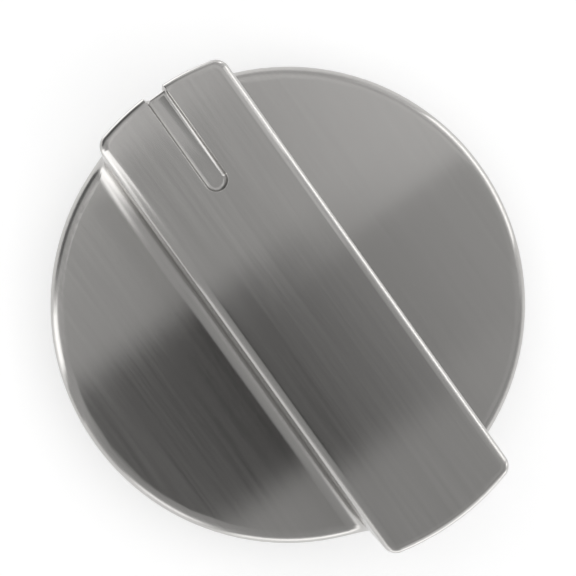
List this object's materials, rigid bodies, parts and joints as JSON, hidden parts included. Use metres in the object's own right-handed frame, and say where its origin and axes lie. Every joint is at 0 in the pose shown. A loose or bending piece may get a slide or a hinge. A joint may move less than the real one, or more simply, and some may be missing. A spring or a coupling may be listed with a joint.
{
  "type": "stove knob",
  "caption": "Round brushed-metal stove knob with a grip bar across its face, a pointer groove, and a moulded hub with a sprung D-socket for a control shaft.",
  "frame": {"origin": "on the shaft's axis, in the plane that the rim stands on", "axes": "+Z out of the knob's face along the shaft's axis, +Y along the grip bar towards the pointer groove, +X across the bar"},
  "size_m": [0.042, 0.042, 0.024],
  "materials": {
    "satin_metal": "brushed satin chrome on a zinc casting, brushed along the grip bar",
    "black_plastic": "moulded heat-resistant plastic, finely textured",
    "spring_steel": "blank rolled spring strip",
    "plated_screw": "zinc plated"
  },
  "bodies": {
    "root": {"knob_body": "satin_metal", "hub_insert": "black_plastic", "shaft_spring": "spring_steel", "insert_screws": "plated_screw"}
  },
  "joints": []
}
